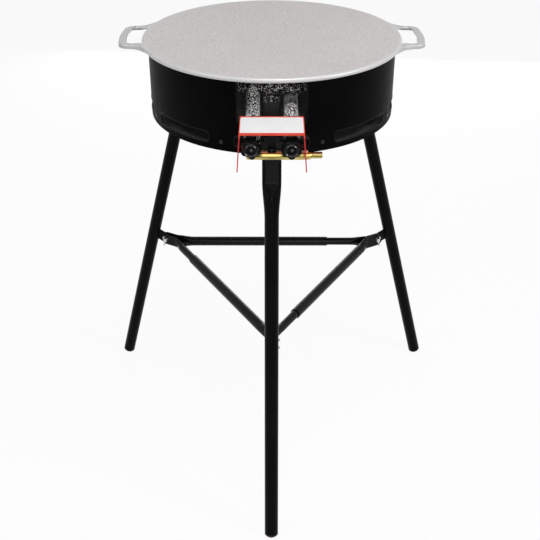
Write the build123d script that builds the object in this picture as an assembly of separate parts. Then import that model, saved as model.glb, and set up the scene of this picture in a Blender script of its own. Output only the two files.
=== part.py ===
from build123d import *
from build123d.topology import SkipClean

import math
import os

# Griddle pan on a ring gas burner with a wind drum and a three-legged stand.
# Millimetres. The origin is on the floor, on the axis of the pan. +Z is up and -Y is the front.

# Stand: three splayed legs, flattened at the top
stand_height = 756.0
leg_splay = 16.1
leg_diameter = 26.9
tube_wall = 1.5
leg_inset = 27.1
leg_flat_length = 60.0
leg_flare_length = 72.0
leg_flat_thickness = 11.5
flat_crown = 0.06
foot_reveal = 8.0
foot_dome_margin = 2.5
foot_dome_sink = 2.0
foot_stem_length = 25.0
foot_stem_clearance = 0.25

# Braces: a wide tube on one leg takes a slim tube from the next leg
brace_height = 372.0
brace_wide_diameter = 21.3
brace_clearance = 0.5
brace_flat_thickness = 3.0
brace_flare_length = 36.0
brace_fold_bead = 0.3
brace_fold_inset = 0.2
brace_slim_showing = 90.0
brace_engaged = 150.0
tab_thickness = 4.0
tab_height = 25.0
tab_reach = 40.4
tab_to_bend = 28.0
brace_angle = 30.0

# Bolts and wing nuts through the tabs
bolt_diameter = 6.0
bolt_head_flats = 10.0
bolt_head_height = 4.0
bolt_hole_clearance = 0.2
bolt_tail = 1.5
nut_running_clearance = 0.05
nut_seat_gap = 0.1
nut_height = 6.0
nut_base_radius = 5.6
nut_neck_radius = 4.5
nut_wing_reach = 11.5
nut_wing_top = 11.5
nut_wing_foot = 1.2
nut_wing_heel = 7.0
nut_wing_tip = 4.0
nut_throat_step = 0.6
nut_bore_web = 0.5
nut_wing_thickness = 2.4

# Drum: a rolled wall with vent slots, a lighting notch, and a floor held by riveted clips
drum_radius = 238.5
drum_height = 136.0
drum_wall = 1.5
vent_count = 8
vent_half_angle = 16.5
vent_height = 21.5
vent_corner = 7.0
vent_rise = 11.0
notch_side_margin = 15.0
notch_under_tubes = 1.3
notch_corner = 23.0
floor_thickness = 1.5
floor_gap = 0.3
clip_width = 16.0
clip_height = 22.0
clip_foot = 12.0
clip_sheet = 1.5
rivet_rise = 16.5
rivet_diameter = 5.0
rivet_head_diameter = 8.0
rivet_head_height = 1.4
rivet_head_round = 1.1
rivet_tail_length = 2.5
rivet_clearance = 0.1

# Pan: a shallow casting with a round rim and two loop handles
rim_overhang = 11.5
rim_thickness = 9.0
rim_round = 3.8
pan_thickness = 7.0
dish_depth = 14.0
spigot_clearance = 2.0
spigot_depth = 4.0
spigot_draft = 2.0
spigot_width = 15.0
handle_reach = 43.0
handle_width = 124.0
handle_bow = 200.0
handle_corner = 22.0
handle_bar = 19.0
handle_arm = 16.0
handle_hole_corner = 9.0
handle_heel_corner = 4.0
handle_root = 16.0
handle_root_inset = 1.5
handle_thickness = 9.3
handle_drop = 1.2
handle_edge = 3.0

# Burner rings, arms and tongues
ring_tube_diameter = 26.0
ring_wall = 1.5
ring_drop = 30.0
outer_ring_inset = 58.0
ring_spacing = 71.0
outer_port_count = 40
inner_port_count = 24
port_diameter = 3.0
port_tilt = 40.0
arm_thickness = 4.0
arm_inner_reach = 16.0
arm_lap = 7.0
weld_gap = 0.1
tongue_side_clearance = 1.7
tongue_face_clearance = 0.25
tongue_engaged = 54.0
tongue_tip_corner = 8.0
tongue_edge = 2.8
shoulder_step = 6.5
shoulder_height = 12.0
slot_clearance = 0.5

# Gas train: mixing tubes, injectors, valves, manifold and hose barb
mixing_rise = 49.0
valve_spacing = 68.0
mixing_tube_diameter = 25.4
mixing_climb = 45.0
mixing_bend = 28.0
mixing_lead = 13.0
mixing_ring_gap = 1.3
chamber_step = 2.3
chamber_length = 26.0
chamber_front_wall = 3.0
chamber_standoff = 43.5
air_window = 11.0
injector_flats = 14.0
injector_hex_length = 8.0
injector_nozzle_diameter = 8.0
injector_nozzle_length = 14.0
injector_bore = 1.2
injector_tip_chamfer = 1.6
valve_diameter = 22.0
valve_length = 36.0
valve_chamfer = 1.5
valve_stub_diameter = 14.0
gland_flats = 20.0
gland_length = 6.0
spindle_diameter = 8.0
spindle_engaged = 26.0
spindle_end_gap = 2.0
spindle_clearance = 0.05
gas_way_diameter = 4.0
manifold_flats = 14.0
stub_showing = 10.5
valve_stub_inset = 14.0
manifold_left_end = 7.5
manifold_right_end = 28.0
manifold_bore = 7.0
plug_flats = 13.0
plug_length = 2.5
plug_chamfer = 0.8
barb_hex_length = 6.0
barb_shank_diameter = 10.0
barb_rib_diameter = 13.0
barb_rib_count = 4
barb_rib_pitch = 4.2
barb_rib_length = 3.4
barb_bore = 5.0
fitting_depth = 10.0
fitting_clearance = 0.1

# Knobs
knob_diameter = 35.6
knob_length = 24.0
knob_lobes = 5
knob_valley_radius = 9.0
knob_valley_depth = 3.4
knob_lobe_round = 4.0
knob_edge = 3.0
knob_dish_diameter = 20.0
knob_dish_depth = 1.5
knob_bore_depth = 17.0
knob_valve_gap = 0.5
knob_screw_diameter = 6.0
knob_screw_height = 1.2

# Heat shield with its bracket and plate
shield_knob_gap = 4.7
shield_side_clearance = 3.2
shield_depth = 74.0
shield_back = 27.5
shield_sheet = 2.0
shield_lip = 4.5
shield_side_drop = 69.5
shield_side_flare = 5.0
shield_side_tip = 5.0
plate_side_margin = 1.7
plate_back_margin = 5.7
plate_front_margin = 0.8
plate_corner = 2.0
plate_thickness = 0.5
bracket_sheet = 2.0
bracket_width = 14.0
bracket_foot = 14.0
bracket_head = 26.0
screw_diameter = 5.0
screw_head_diameter = 9.0
screw_head_height = 3.0
screw_depth = 3.0

# Azimuth of each leg, measured from +X
leg_azimuths = {"front": -90.0, "right": 30.0, "left": 150.0}
# Side of its tab on which each wing nut sits: 1 is anticlockwise seen from above
nut_sides = {"front": 1, "right": -1, "left": 1}


def flattened_width(diameter, wall, thickness):
    """Width of a tube after it is pressed to a thickness, from its unchanged mid-wall girth."""
    girth = math.pi * (diameter - wall)
    arc_thickness = thickness - wall
    return (girth - math.pi * arc_thickness) / 2 + arc_thickness + wall


# Heights that several pieces share
drum_bottom = stand_height
drum_top = drum_bottom + drum_height
rim_top = drum_top + rim_thickness
floor_top = drum_bottom + floor_thickness
ring_height = drum_top - ring_drop
ring_bottom = ring_height - ring_tube_diameter / 2
arm_top = ring_bottom - weld_gap
arm_bottom = arm_top - arm_thickness
valve_height = ring_height - mixing_rise
manifold_height = valve_height - valve_diameter / 2 - stub_showing - manifold_flats / 2
manifold_top = manifold_height + manifold_flats / 2
shield_top = valve_height + knob_diameter / 2 + shield_knob_gap + shield_lip

# Radii and stations that several pieces share
drum_inner = drum_radius - drum_wall
pan_radius = drum_radius + rim_overhang
outer_ring_radius = drum_radius - outer_ring_inset
inner_ring_radius = outer_ring_radius - ring_spacing
leg_top_radius = drum_radius - leg_inset
leg_flat_width = flattened_width(leg_diameter, tube_wall, leg_flat_thickness)
tongue_thickness = leg_flat_thickness - 2 * (tube_wall + tongue_face_clearance)
tongue_width = leg_flat_width - 2 * (tube_wall + tongue_side_clearance)
brace_slim_diameter = brace_wide_diameter - 2 * (tube_wall + brace_clearance)
splay_slope = math.tan(math.radians(leg_splay))
leg_length = stand_height / math.cos(math.radians(leg_splay))
tab_bolt_radius = leg_top_radius + (stand_height - brace_height) * splay_slope - tab_reach
bend_radius = tab_bolt_radius - tab_to_bend
brace_offset = (tab_thickness + brace_flat_thickness) / 2
chamber_diameter = mixing_tube_diameter + 2 * chamber_step
chamber_front = -(drum_radius + chamber_standoff)
valve_back = chamber_front - injector_hex_length
valve_front = valve_back - valve_length
manifold_station = valve_back - valve_stub_inset
knob_back = valve_front - knob_valve_gap
knob_front = knob_back - knob_length
manifold_left = valve_spacing / 2 + manifold_left_end
manifold_right = valve_spacing / 2 + manifold_right_end
shield_width = valve_spacing + knob_diameter + 2 * shield_side_clearance
foot_dome_radius = leg_diameter / 2 + foot_dome_margin
far = 2000.0


def at_azimuth(shape, azimuth):
    """Turns a piece made on the +X side of the axis to its place round the axis."""
    return Rot(0, 0, azimuth) * shape


def save(name, *shapes):
    """Writes the solids of one node to its own file."""
    solids = [solid for shape in shapes for solid in shape.solids()]
    export_step(solids[0] if len(solids) == 1 else Compound(solids), f"parts/{name}.step")


def above(height):
    """Everything over a level plane."""
    return Pos(0, 0, height + far / 2) * Box(far, far, far)


def below(height):
    """Everything under a level plane."""
    return Pos(0, 0, height - far / 2) * Box(far, far, far)


def rod(diameter, start, end):
    """A round bar between two points."""
    path = Line(start, end)
    return extrude(Plane(origin=start, z_dir=path % 0) * Circle(diameter / 2), path.length)


def hex_bar(flats, start, end):
    """A bar of six flats between two points, with a corner of the hexagon level on a bar along X."""
    path = Line(start, end)
    across_corners = flats / math.cos(math.pi / 6)
    side = (0, 1, 0) if abs((path % 0).Y) < 0.5 else (1, 0, 0)
    section = Plane(origin=start, x_dir=side, z_dir=path % 0) * RegularPolygon(across_corners / 2, 6)
    return extrude(section, path.length)


# Tube sections, as four arcs each, so that a round tube runs into a flattened one
def ring_of_arcs(corner_x, corner_y, side_x, side_y):
    """Closed outline through four corners, with one arc bulging to each side."""
    corners = [(corner_x, -corner_y), (corner_x, corner_y), (-corner_x, corner_y), (-corner_x, -corner_y)]
    crowns = [(side_x, 0), (0, side_y), (-side_x, 0), (0, -side_y)]
    arcs = [ThreePointArc(corners[i], crowns[i], corners[(i + 1) % 4]) for i in range(4)]
    return make_face(arcs)


def round_section(diameter):
    corner = diameter / 2 * math.sqrt(0.5)
    return ring_of_arcs(corner, corner, diameter / 2, diameter / 2)


def flat_section(thickness, width):
    """A tube pressed flat: thickness along X, width along Y, with round edges and barely crowned faces."""
    half = thickness / 2
    return ring_of_arcs(half, width / 2 - half, half + flat_crown, width / 2)


# Pan
def dish_height(radius, drop):
    """Height of the dish's spherical face, or of the face parallel to it a drop below."""
    sphere = (pan_radius**2 + dish_depth**2) / (2 * dish_depth)
    centre = rim_top - dish_depth + sphere
    return centre - math.sqrt((sphere + drop) ** 2 - radius**2)


def make_pan():
    seat = drum_top
    spigot_top = drum_inner - spigot_clearance
    spigot_out = spigot_top - spigot_draft
    spigot_in = spigot_out - spigot_width
    spigot_bottom = seat - spigot_depth
    under_spigot = dish_height(spigot_in, pan_thickness)
    middle, half_rim, half_under = 0.0, pan_radius / 2, spigot_in / 2
    cooking_face = ThreePointArc(
        (middle, dish_height(middle, 0)), (half_rim, dish_height(half_rim, 0)), (pan_radius, rim_top)
    )
    rim_and_spigot = Polyline(
        (pan_radius, rim_top),
        (pan_radius, seat),
        (spigot_top, seat),
        (spigot_out, spigot_bottom),
        (spigot_in, spigot_bottom),
        (spigot_in, under_spigot),
    )
    underside = ThreePointArc(
        (spigot_in, under_spigot),
        (half_under, dish_height(half_under, pan_thickness)),
        (middle, dish_height(middle, pan_thickness)),
    )
    axis_line = Line(underside @ 1, cooking_face @ 0)
    profile = make_face([cooking_face, rim_and_spigot, underside, axis_line])
    profile = fillet(profile.vertices().group_by(Axis.X)[-1], rim_round)
    pan = revolve(Plane.XZ * profile, Axis.Z)
    return pan + make_handles()


def loop_outline(outer_edge, half_width, bow, corner):
    """Plan of a loop handle on the +X side: straight sides and a bowed outer edge."""
    side_end = outer_edge - bow + math.sqrt(bow**2 - half_width**2)
    start = drum_inner
    bowed_edge = ThreePointArc((side_end, -half_width), (outer_edge, 0), (side_end, half_width))
    sides = Polyline(
        (side_end, half_width), (start, half_width), (start, -half_width), (side_end, -half_width)
    )
    outline = make_face([bowed_edge, sides])
    return fillet(outline.vertices().group_by(Axis.X)[-1], corner)


def make_handles():
    """Both loops as one flat plate round the rim, rounded all over and opened over the dish."""
    root_radius = pan_radius - handle_root_inset
    outer_edge = pan_radius + handle_reach
    loop = loop_outline(outer_edge, handle_width / 2, handle_bow, handle_corner)
    top = rim_top - handle_drop
    plan = Circle(root_radius) + loop + mirror(loop, Plane.YZ)
    plate = extrude(Pos(0, 0, top - handle_thickness) * plan, handle_thickness)
    upright = plate.edges().filter_by(Axis.Z)
    meeting = upright.filter_by(lambda e: abs(math.hypot(e.center().X, e.center().Y) - root_radius) < 0.01)
    plate = fillet(meeting, handle_root)
    opening = loop_outline(
        outer_edge - handle_bar, handle_width / 2 - handle_arm, handle_bow - handle_bar, handle_hole_corner
    )
    opening -= Circle(pan_radius + handle_edge)
    opening = fillet(opening.vertices().group_by(Axis.X)[0], handle_heel_corner)
    hole = Pos(0, 0, top - 1.5 * handle_thickness) * extrude(opening, 2 * handle_thickness)
    plate = plate - hole - mirror(hole, Plane.YZ)
    flat_faces = plate.faces().filter_by(Axis.Z)
    plate = fillet(flat_faces.edges(), handle_edge)
    return plate - Pos(0, 0, top) * Cylinder(pan_radius - 2 * rim_round, 4 * handle_thickness)


# Drum
def wall_window(half_angle, low, high, corner):
    """A cutter for the wall at azimuth zero, with rounded corners."""
    width = 2 * drum_radius * math.sin(math.radians(half_angle))
    start = (drum_radius - 8 * drum_wall) * math.cos(math.radians(half_angle))
    window = Plane(origin=(start, 0, (low + high) / 2), x_dir=(0, 1, 0), z_dir=(1, 0, 0))
    return extrude(window * RectangleRounded(width, high - low, corner), 2 * (drum_radius - start))


def vent_azimuths(shift):
    pitch = 360 / vent_count
    return [leg_azimuths["front"] + pitch * (i + shift) for i in range(vent_count)]


def make_drum_shell():
    middle = Pos(0, 0, drum_bottom + drum_height / 2)
    shell = middle * (Cylinder(drum_radius, drum_height) - Cylinder(drum_inner, drum_height))
    vent_low = drum_bottom + vent_rise
    vent = wall_window(vent_half_angle, vent_low, vent_low + vent_height, vent_corner)
    notch_half_width = valve_spacing / 2 + mixing_tube_diameter / 2 + notch_side_margin
    notch_half_angle = math.degrees(math.asin(notch_half_width / drum_radius))
    notch_low = valve_height - mixing_tube_diameter / 2 - notch_under_tubes
    notch = wall_window(notch_half_angle, notch_low, drum_top + 2 * notch_corner, notch_corner)
    shell -= [at_azimuth(vent, azimuth) for azimuth in vent_azimuths(0)]
    shell -= at_azimuth(notch, leg_azimuths["front"])
    return shell - [at_azimuth(rivet_hole(), azimuth) for azimuth in vent_azimuths(0.5)]


def clip_outer_face():
    """Radius of a clip's flat back, whose corners just clear the round wall."""
    return math.sqrt((drum_inner - weld_gap) ** 2 - (clip_width / 2) ** 2)


def rivet_hole():
    height = drum_bottom + rivet_rise
    start = clip_outer_face() - 2 * clip_sheet
    return rod(rivet_diameter + 2 * rivet_clearance, (start, 0, height), (drum_radius + drum_wall, 0, height))


def make_drum_floor():
    disc = Pos(0, 0, drum_bottom + floor_thickness / 2) * Cylinder(drum_inner - floor_gap, floor_thickness)
    slot = leg_place() * Box(
        tongue_thickness + 2 * slot_clearance, tongue_width + 2 * slot_clearance, 10 * floor_thickness
    )
    return disc - [at_azimuth(slot, azimuth) for azimuth in leg_azimuths.values()]


def make_clips():
    """Angle clips, spot-welded to the floor and riveted to the wall."""
    face = clip_outer_face()
    upright = Pos(face - clip_sheet / 2, 0, floor_top + clip_height / 2)
    foot = Pos(face - clip_foot / 2, 0, floor_top + clip_sheet / 2)
    clip = upright * Box(clip_sheet, clip_width, clip_height) + foot * Box(clip_foot, clip_width, clip_sheet)
    clip -= rivet_hole()
    return [at_azimuth(clip, azimuth) for azimuth in vent_azimuths(0.5)]


def make_rivets():
    height = drum_bottom + rivet_rise
    clip_inner_face = clip_outer_face() - clip_sheet
    head_end = drum_radius + rivet_head_height
    head = rod(rivet_head_diameter, (drum_radius, 0, height), (head_end, 0, height))
    head = fillet(head.edges().group_by(Axis.X)[-1], rivet_head_round)
    shank = rod(rivet_diameter, (clip_inner_face, 0, height), (drum_radius, 0, height))
    tail_end = clip_inner_face - rivet_tail_length
    tail = rod(rivet_head_diameter, (tail_end, 0, height), (clip_inner_face, 0, height))
    rivet = head + shank + tail
    return [at_azimuth(rivet, azimuth) for azimuth in vent_azimuths(0.5)]


# Burner
def leg_place():
    """Frame on a leg's axis at the underside of the drum: +Z up the leg, +X outwards, +Y along the drum."""
    return Pos(leg_top_radius, 0, drum_bottom) * Rot(0, -leg_splay, 0)


def feed_station(ring_radius):
    """How far in front of the axis a ring passes over or under its mixing tube."""
    return -math.sqrt(ring_radius**2 - (valve_spacing / 2) ** 2)


def half_ring(radius, tube_radius, hollow_radius, sweep_angle):
    """Half of a ring of tube: the back half for a positive angle, the front half for a negative one."""
    section = Circle(tube_radius)
    if hollow_radius > 0:
        section -= Circle(hollow_radius)
    return revolve(Plane.XZ * Pos(radius, ring_height) * section, Axis.Z, sweep_angle)


def make_ring(radius, port_count, feed):
    """Two bent half rings with their flame ports, joined without merging their faces."""
    tube_radius = ring_tube_diameter / 2
    port = Pos(radius, 0, ring_height) * Rot(0, port_tilt, 0)
    port = port * Pos(0, 0, tube_radius) * Cylinder(port_diameter / 2, 3 * ring_wall)
    halves = []
    for side in (1, -1):
        half = half_ring(radius, tube_radius, tube_radius - ring_wall, side * 180)
        pitch = side * 360 / port_count
        half -= [at_azimuth(port, pitch * (i + 0.5)) for i in range(port_count // 2)]
        halves.append(half)
    back, front = halves
    front -= feed
    with SkipClean():
        return front + back


def make_arm():
    """Strip under both rings, turned down at its outer end over the tongue."""
    inner_end = inner_ring_radius - arm_inner_reach
    outer_end = leg_top_radius
    strip = Pos((inner_end + outer_end) / 2, 0, (arm_top + arm_bottom) / 2)
    strip = strip * Box(outer_end - inner_end, tongue_width, arm_thickness)
    outer_face = tongue_thickness / 2 + arm_thickness
    strip -= leg_place() * Pos(outer_face + far / 2, 0, 0) * Box(far, far, far)
    flange = leg_place() * Pos(outer_face - arm_thickness / 2, 0, 0)
    flange = flange * Box(arm_thickness, tongue_width, 2 * drum_height)
    return strip + (flange - above(arm_top) - below(arm_bottom - arm_lap))


def make_tongue():
    """Round-edged bar from the arm down into the leg, with shoulders that stand on the drum floor."""
    length = tongue_engaged + drum_height
    bar = extrude(
        Plane.YZ * Pos(0, length / 2 - tongue_engaged) * Rectangle(tongue_width, length),
        tongue_thickness / 2,
        both=True,
    )
    tip = bar.edges().filter_by(Axis.X).group_by(Axis.Z)[0]
    bar = chamfer(tip, tongue_tip_corner)
    bar = leg_place() * fillet(bar.edges().filter_by(Axis.Z), tongue_edge)
    shoulder = leg_place() * Box(
        tongue_thickness, tongue_width + 2 * shoulder_step, 2 * shoulder_height
    )
    return (bar - above(arm_bottom - weld_gap)) + (shoulder - below(floor_top))


def mixing_path(side):
    """Centre line of a mixing tube. The left one climbs to the outer ring. The right one climbs a little,
    goes level under the outer ring and climbs to the inner one."""
    x = side * valve_spacing / 2
    slope = math.tan(math.radians(mixing_climb))
    start = (x, chamber_front + chamber_length - chamber_front_wall, valve_height)
    if side < 0:
        end = (x, feed_station(outer_ring_radius), ring_height)
        knee = (x, end[1] - (ring_height - valve_height) / slope, valve_height)
        return FilletPolyline(start, knee, end, radius=mixing_bend)
    level = ring_bottom - mixing_ring_gap - mixing_tube_diameter / 2
    end = (x, feed_station(inner_ring_radius), ring_height)
    first = (x, start[1] + mixing_lead, valve_height)
    second = (x, first[1] + (level - valve_height) / slope, level)
    third = (x, end[1] - (ring_height - level) / slope, level)
    return FilletPolyline(start, first, second, third, end, radius=mixing_bend)


def swept_tube(path, diameter):
    return sweep(Plane(origin=path @ 0, z_dir=path % 0) * Circle(diameter / 2), path)


def make_feed(side):
    """Bore of a mixing tube, which also opens its ring."""
    return swept_tube(mixing_path(side), mixing_tube_diameter - 2 * tube_wall)


def make_mixing_tube(side, ring_radius):
    """Bent tube with an air chamber at its front end, cut to sit on the ring."""
    x = side * valve_spacing / 2
    tube = swept_tube(mixing_path(side), mixing_tube_diameter)
    ring = half_ring(ring_radius, ring_tube_diameter / 2 + weld_gap, 0, -180)
    chamber_back = chamber_front + chamber_length
    chamber = rod(chamber_diameter, (x, chamber_front, valve_height), (x, chamber_back, valve_height))
    inner_front = chamber_front + chamber_front_wall
    inner_back = chamber_back - chamber_front_wall
    inner_diameter = chamber_diameter - 2 * tube_wall
    hollow = rod(inner_diameter, (x, inner_front, valve_height), (x, inner_back, valve_height))
    nozzle = injector_nozzle_diameter + 2 * fitting_clearance
    nozzle_hole = rod(nozzle, (x, chamber_front - 1, valve_height), (x, inner_front + 1, valve_height))
    window_middle = (inner_front + inner_back) / 2
    window = Pos(x, window_middle, valve_height) * Box(2 * chamber_diameter, air_window, air_window)
    return tube + chamber - hollow - make_feed(side) - window - nozzle_hole - ring


# Gas train
def make_injector(side):
    x = side * valve_spacing / 2
    nut = hex_bar(injector_flats, (x, valve_back, valve_height), (x, chamber_front, valve_height))
    tip = chamber_front + injector_nozzle_length
    nozzle = rod(injector_nozzle_diameter, (x, chamber_front, valve_height), (x, tip, valve_height))
    nozzle = chamfer(nozzle.edges().group_by(Axis.Y)[-1], injector_tip_chamfer)
    return nut + nozzle - rod(injector_bore, (x, valve_back, valve_height), (x, tip, valve_height))


def manifold_bar():
    """The plain six-sided bar, without its bores."""
    left = (-manifold_left, manifold_station, manifold_height)
    return hex_bar(manifold_flats, left, (manifold_right, manifold_station, manifold_height))


def gas_way(side):
    """Bore from the manifold up to the valve's axis."""
    x = side * valve_spacing / 2
    low = (x, manifold_station, manifold_height)
    return rod(gas_way_diameter, low, (x, manifold_station, valve_height))


def make_valve_body(side):
    """Turned body with a six-sided gland, on a stub that saddles the manifold."""
    x = side * valve_spacing / 2
    gland_back = valve_front + gland_length
    body = rod(valve_diameter, (x, gland_back, valve_height), (x, valve_back, valve_height))
    body = chamfer(body.edges().group_by(Axis.Y)[-1], valve_chamfer)
    gland = hex_bar(gland_flats, (x, valve_front, valve_height), (x, gland_back, valve_height))
    stub_foot = (x, manifold_station, manifold_height)
    stub = rod(valve_stub_diameter, stub_foot, (x, manifold_station, valve_height)) - manifold_bar()
    bore_end = (x, valve_front + spindle_engaged + spindle_end_gap, valve_height)
    bore = rod(spindle_diameter + 2 * spindle_clearance, (x, valve_front, valve_height), bore_end)
    outlet = rod(gas_way_diameter, bore_end, (x, valve_back, valve_height))
    return body + gland + stub - bore - outlet - gas_way(side)


def make_manifold():
    left = (-manifold_left, manifold_station, manifold_height)
    bore = rod(manifold_bore, left, (manifold_right, manifold_station, manifold_height))
    screw_hole = rod(
        screw_diameter + 2 * fitting_clearance,
        (0, manifold_station, manifold_top - screw_depth - fitting_clearance),
        (0, manifold_station, manifold_top),
    )
    return manifold_bar() - bore - screw_hole - gas_way(-1) - gas_way(1)


def fitting_shank(face, inwards):
    """The part of an end fitting that goes into the manifold's bore."""
    end = (face + inwards * fitting_depth, manifold_station, manifold_height)
    return rod(manifold_bore - 2 * fitting_clearance, (face, manifold_station, manifold_height), end)


def make_manifold_plug():
    face = -manifold_left
    head_end = (face - plug_length, manifold_station, manifold_height)
    head = hex_bar(plug_flats, head_end, (face, manifold_station, manifold_height))
    head = chamfer(head.faces().sort_by(Axis.X)[0].edges(), plug_chamfer)
    return head + fitting_shank(face, 1)


def make_hose_barb():
    """Six-sided collar, then a shank with cone-shaped ribs that grip a hose."""
    face = manifold_right
    collar_end = face + barb_hex_length
    start = (face, manifold_station, manifold_height)
    collar = hex_bar(plug_flats, start, (collar_end, manifold_station, manifold_height))
    tip = collar_end + barb_rib_pitch * (barb_rib_count + 0.5)
    shank = rod(barb_shank_diameter, start, (tip, manifold_station, manifold_height))
    barb = collar + shank + fitting_shank(face, -1)
    for i in range(barb_rib_count):
        base = collar_end + barb_rib_pitch * (i + 0.5)
        rib = Cone(barb_rib_diameter / 2, barb_shank_diameter / 2, barb_rib_length)
        place = Pos(base + barb_rib_length / 2, manifold_station, manifold_height) * Rot(0, 90, 0)
        barb += place * rib
    bore_start = (face - fitting_depth, manifold_station, manifold_height)
    return barb - rod(barb_bore, bore_start, (tip, manifold_station, manifold_height))


# Knobs
def make_knob(side):
    """Lobed grip with a dished front, bored from the back for the spindle."""
    x = side * valve_spacing / 2
    outline = Circle(knob_diameter / 2)
    valley_centre = knob_diameter / 2 + knob_valley_radius - knob_valley_depth
    for i in range(knob_lobes):
        outline -= Rot(0, 0, 360 / knob_lobes * i) * Pos(valley_centre, 0) * Circle(knob_valley_radius)
    grip = extrude(outline, knob_length)
    grip = fillet(grip.edges().filter_by(Axis.Z), knob_lobe_round)
    grip = fillet(grip.faces().sort_by(Axis.Z)[-1].edges(), knob_edge)
    grip -= Pos(0, 0, knob_length) * Cylinder(knob_dish_diameter / 2, 2 * knob_dish_depth)
    bore = spindle_diameter / 2 + spindle_clearance
    grip -= Pos(0, 0, knob_bore_depth / 2) * Cylinder(bore, knob_bore_depth)
    return Pos(x, knob_back, valve_height) * Rot(90, 0, 0) * grip


def make_spindle(side):
    """Tap spindle, drilled from its end and from one side, so that a quarter turn opens the gas way."""
    x = side * valve_spacing / 2
    start = knob_back - knob_bore_depth + spindle_clearance
    end = (x, valve_front + spindle_engaged, valve_height)
    spindle = rod(spindle_diameter, (x, start, valve_height), end)
    crossing = (x, manifold_station, valve_height)
    outside = (x + side * spindle_diameter, manifold_station, valve_height)
    return spindle - rod(gas_way_diameter, crossing, end) - rod(gas_way_diameter, crossing, outside)


def make_knob_screw(side):
    x = side * valve_spacing / 2
    seat = knob_front + knob_dish_depth
    screw = rod(knob_screw_diameter, (x, seat - knob_screw_height, valve_height), (x, seat, valve_height))
    return fillet(screw.edges().group_by(Axis.Y)[0], knob_screw_height / 2)


# Heat shield
def make_heat_shield():
    """Folded sheet: a top with a front lip, and two three-cornered sides that lean out."""
    back = -(drum_radius + shield_back)
    front = back - shield_depth
    half = shield_width / 2
    under = shield_top - shield_sheet
    bottom = under - shield_side_drop
    top = Pos(0, (back + front) / 2, shield_top - shield_sheet / 2)
    top = top * Box(shield_width, shield_depth, shield_sheet)
    lip = Pos(0, front + shield_sheet / 2, shield_top - shield_lip / 2)
    lip = lip * Box(shield_width, shield_sheet, shield_lip)
    fold = Polyline(
        (half, shield_top),
        (half, under),
        (half + shield_side_flare, bottom),
        (half + shield_side_flare - shield_sheet, bottom),
        (half - shield_sheet, under),
        (half - shield_sheet, shield_top),
        close=True,
    )
    corners = Polyline(
        (back, shield_top),
        (front, shield_top),
        (front, bottom),
        (front + shield_side_tip, bottom),
        (back, under),
        close=True,
    )
    side = Pos(0, back, 0) * extrude(Plane.XZ * make_face(fold), shield_depth)
    side &= extrude(Plane.YZ * make_face(corners), shield_width)
    return top + lip + side + mirror(side, Plane.YZ)


def make_shield_plate():
    back = -(drum_radius + shield_back) - plate_back_margin
    depth = shield_depth - plate_back_margin - plate_front_margin
    place = Pos(0, back - depth / 2, shield_top)
    outline = RectangleRounded(shield_width - 2 * plate_side_margin, depth, plate_corner)
    return place * extrude(outline, plate_thickness)


def make_shield_bracket():
    """Z-bent strip from the top flat of the manifold to the underside of the shield."""
    top = shield_top - shield_sheet
    web_front = manifold_station + bracket_foot / 2
    foot = Pos(0, web_front - bracket_foot / 2, manifold_top + bracket_sheet / 2)
    foot = foot * Box(bracket_width, bracket_foot, bracket_sheet)
    web = Pos(0, web_front + bracket_sheet / 2, (manifold_top + top) / 2)
    web = web * Box(bracket_width, bracket_sheet, top - manifold_top)
    head = Pos(0, web_front - bracket_head / 2, top - bracket_sheet / 2)
    head = head * Box(bracket_width, bracket_head, bracket_sheet)
    hole = screw_diameter + 2 * fitting_clearance
    seat = manifold_top + bracket_sheet
    return foot + web + head - rod(hole, (0, manifold_station, manifold_top), (0, manifold_station, seat))


def make_bracket_screw():
    seat = manifold_top + bracket_sheet
    head_top = seat + screw_head_height
    head = rod(screw_head_diameter, (0, manifold_station, seat), (0, manifold_station, head_top))
    head = fillet(head.edges().group_by(Axis.Z)[-1], screw_head_height / 2)
    low = manifold_top - screw_depth
    return head + rod(screw_diameter, (0, manifold_station, low), (0, manifold_station, seat))


# Legs, made on the +X side in the frame of leg_place
def leg_loft(inset):
    """Round tube up to the flare, then flattened, each face moved in by the inset."""
    foot = foot_reveal - leg_length
    flat_start = -leg_flat_length
    flare_start = flat_start - leg_flare_length
    tube = round_section(leg_diameter - 2 * inset)
    flat = flat_section(leg_flat_thickness - 2 * inset, leg_flat_width - 2 * inset)
    overrun = leg_flat_thickness if inset == 0 else 2 * leg_flat_thickness
    stations = [(foot - inset, tube), (flare_start, tube), (flat_start, flat), (overrun, flat)]
    return loft([Pos(0, 0, height) * section for height, section in stations], ruled=True)


def make_leg_tube():
    return leg_place() * (leg_loft(0) - leg_loft(tube_wall)) - above(drum_bottom)


def make_foot_plug():
    """Domed plug in the end of the leg, worn level where it stands."""
    head = Pos(0, 0, foot_reveal / 2 - leg_length) * Cylinder(leg_diameter / 2, 5 * foot_reveal)
    head &= Pos(0, 0, foot_dome_radius - foot_dome_sink - leg_length) * Sphere(foot_dome_radius)
    head -= Pos(0, 0, foot_reveal - leg_length + far / 2) * Box(far, far, far)
    stem_radius = leg_diameter / 2 - tube_wall - foot_stem_clearance
    stem = Pos(0, 0, foot_reveal + foot_stem_length / 2 - leg_length)
    return leg_place() * (head + stem * Cylinder(stem_radius, foot_stem_length)) - below(0)


def bolt_hole(thickness):
    """Cutter for the bolt, as long as all that it passes through."""
    end = thickness / 2
    return rod(
        bolt_diameter + 2 * bolt_hole_clearance,
        (tab_bolt_radius, -end, brace_height),
        (tab_bolt_radius, end, brace_height),
    )


def upright_strap(inner, outer, height, low, high):
    """Upright plate from an inner radius to an outer one, between two sides."""
    place = Pos((inner + outer) / 2, (low + high) / 2, brace_height)
    return place * Box(outer - inner, high - low, height)


def rounded_end(height, low, high):
    """Half-round end of a plate, about the bolt."""
    return rod(height, (tab_bolt_radius, low, brace_height), (tab_bolt_radius, high, brace_height))


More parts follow.
